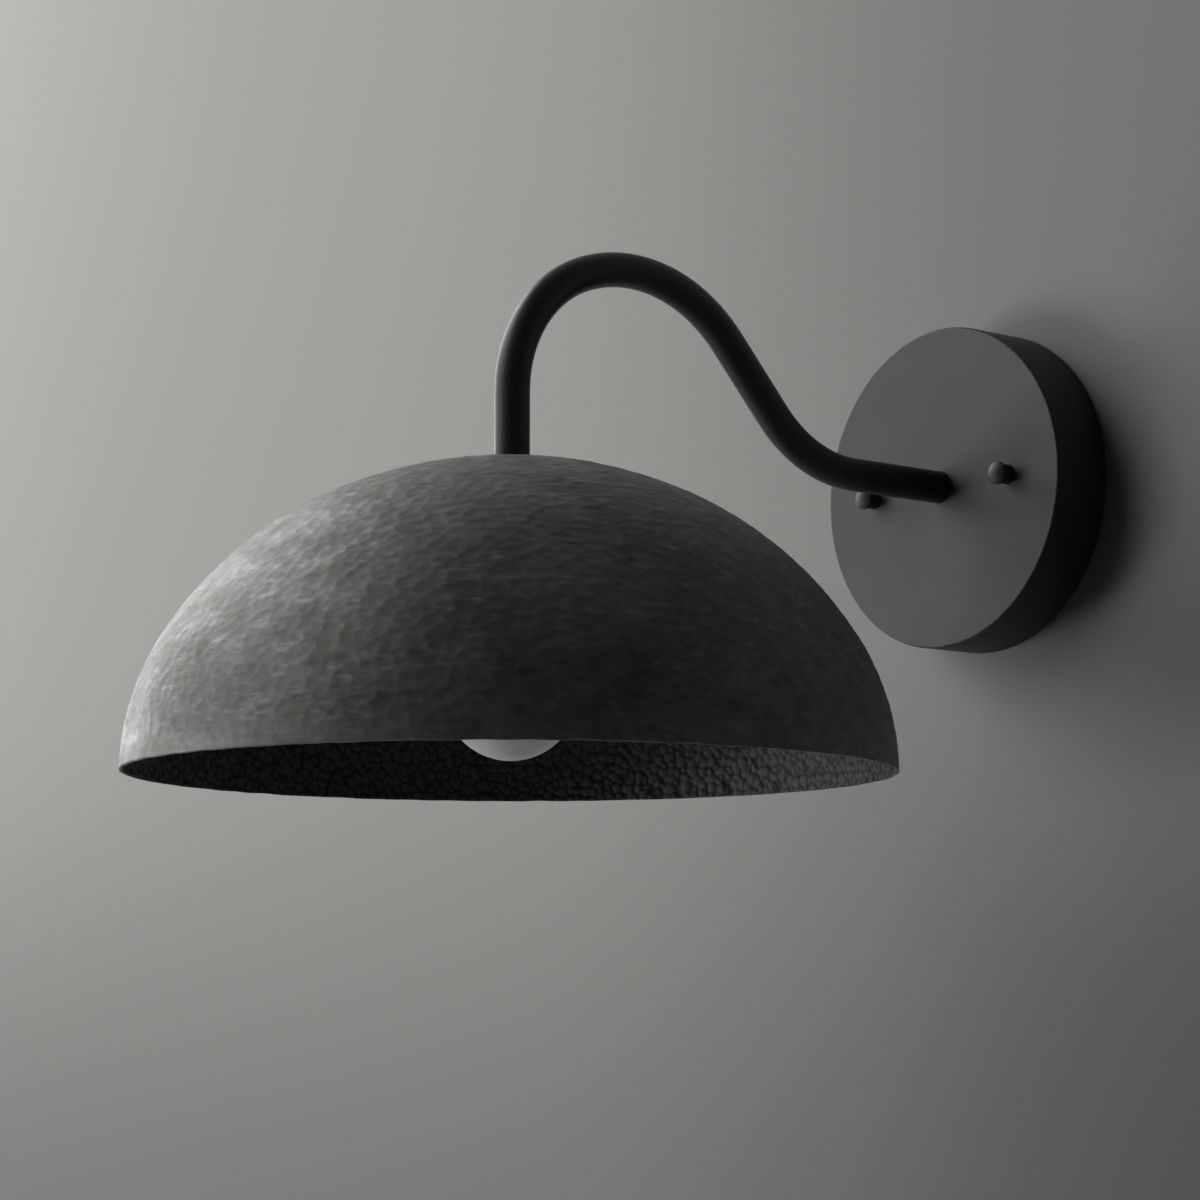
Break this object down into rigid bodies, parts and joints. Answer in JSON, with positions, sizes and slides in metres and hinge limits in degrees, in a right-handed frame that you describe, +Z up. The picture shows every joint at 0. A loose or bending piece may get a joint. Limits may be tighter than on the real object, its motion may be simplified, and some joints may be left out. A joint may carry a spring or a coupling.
{
  "type": "wall sconce",
  "caption": "Wall light with a hammered dome shade hung from a gooseneck tube arm on a round canopy, with its lamp, lamp holder, leads and mounting bracket.",
  "frame": {"origin": "centre of the canopy's back, on the wall plane, midway between the bracket's wall slots", "axes": "+Y into the wall, +Z up, +X to the right when facing the wall; the arm stands out along -Y"},
  "size_m": [0.253, 0.3495, 0.1821],
  "materials": {
    "black_powder_coat": "matte black powder coat",
    "hammered_metal": "hand-hammered, charcoal patina, satin",
    "zinc_steel": "zinc plated, bright",
    "green_steel": "green dyed zinc",
    "black_phenolic": "moulded phenolic, satin",
    "porcelain": "glazed porcelain",
    "brass": "brass strip",
    "nickel_shell": "nickel plated screw shell",
    "opal_glass": "frosted white glass",
    "black_glass": "fused black glass",
    "clear_glass": "clear glass",
    "tungsten": "drawn tungsten wire",
    "solder": "solder button",
    "black_lead": "insulated lead, black",
    "white_lead": "insulated lead, white",
    "green_lead": "insulated lead, green",
    "orange_plastic": "moulded wire connector",
    "black_fibre": "vulcanised fibre washer"
  },
  "bodies": {
    "fixture": {"mounting_bracket": "zinc_steel", "canopy_studs": "zinc_steel", "stud_lock_nuts": "zinc_steel", "ground_screw": "green_steel", "ground_lugs": "zinc_steel", "ground_lead": "green_lead", "canopy": "black_powder_coat", "arm_tube": "black_powder_coat", "canopy_pipe": "zinc_steel", "canopy_tooth_washer": "zinc_steel", "canopy_lock_nut": "zinc_steel", "shade": "hammered_metal", "shade_pipe": "zinc_steel", "shade_washer": "zinc_steel", "shade_tooth_washer": "zinc_steel", "shade_lock_nut": "zinc_steel", "holder_cap": "black_phenolic", "holder_body": "black_phenolic", "contact_block": "porcelain", "terminal_plates": "brass", "terminal_screws": "brass", "contact_rivet": "brass", "centre_tongue": "brass", "screw_shell": "nickel_shell", "line_lead": "black_lead", "neutral_lead": "white_lead", "wire_connectors": "orange_plastic"},
    "lamp_travel": {"lamp_contact": "solder"},
    "lamp": {"lamp_insulator": "black_glass", "lamp_cap": "nickel_shell", "lamp_glass": "opal_glass", "lamp_stem": "clear_glass", "lamp_filament": "tungsten"},
    "left_nut_travel": {"cap_washer_left": "black_fibre"},
    "left_nut": {"cap_nut_left": "black_powder_coat"},
    "right_nut_travel": {"cap_washer_right": "black_fibre"},
    "right_nut": {"cap_nut_right": "black_powder_coat"}
  },
  "joints": [
    {"name": "lamp_drop", "type": "slide", "parent": "fixture", "child": "lamp_travel", "axis": [0, 0, -1], "range_m": [0, 0.01633]},
    {"name": "lamp_turn", "type": "hinge", "parent": "lamp_travel", "child": "lamp", "pos_m": [0, -0.223, -0.05], "axis": [0, 0, -1], "range_deg": [0, 1621]},
    {"name": "left_nut_travel", "type": "slide", "parent": "fixture", "child": "left_nut_travel", "axis": [0, -1, 0], "range_m": [0, 0.00476]},
    {"name": "left_nut_turn", "type": "hinge", "parent": "left_nut_travel", "child": "left_nut", "pos_m": [-0.035, -0.028, 0], "axis": [0, -1, 0], "range_deg": [0, 2161]},
    {"name": "right_nut_travel", "type": "slide", "parent": "fixture", "child": "right_nut_travel", "axis": [0, -1, 0], "range_m": [0, 0.00476]},
    {"name": "right_nut_turn", "type": "hinge", "parent": "right_nut_travel", "child": "right_nut", "pos_m": [0.035, -0.028, 0], "axis": [0, -1, 0], "range_deg": [0, 2161]}
  ],
  "couplings": [
    {"joint": "lamp_turn", "follows": "lamp_drop", "rad_per_m": 1731.4},
    {"joint": "left_nut_turn", "follows": "left_nut_travel", "rad_per_m": 7913.3},
    {"joint": "right_nut_turn", "follows": "right_nut_travel", "rad_per_m": 7913.3}
  ]
}
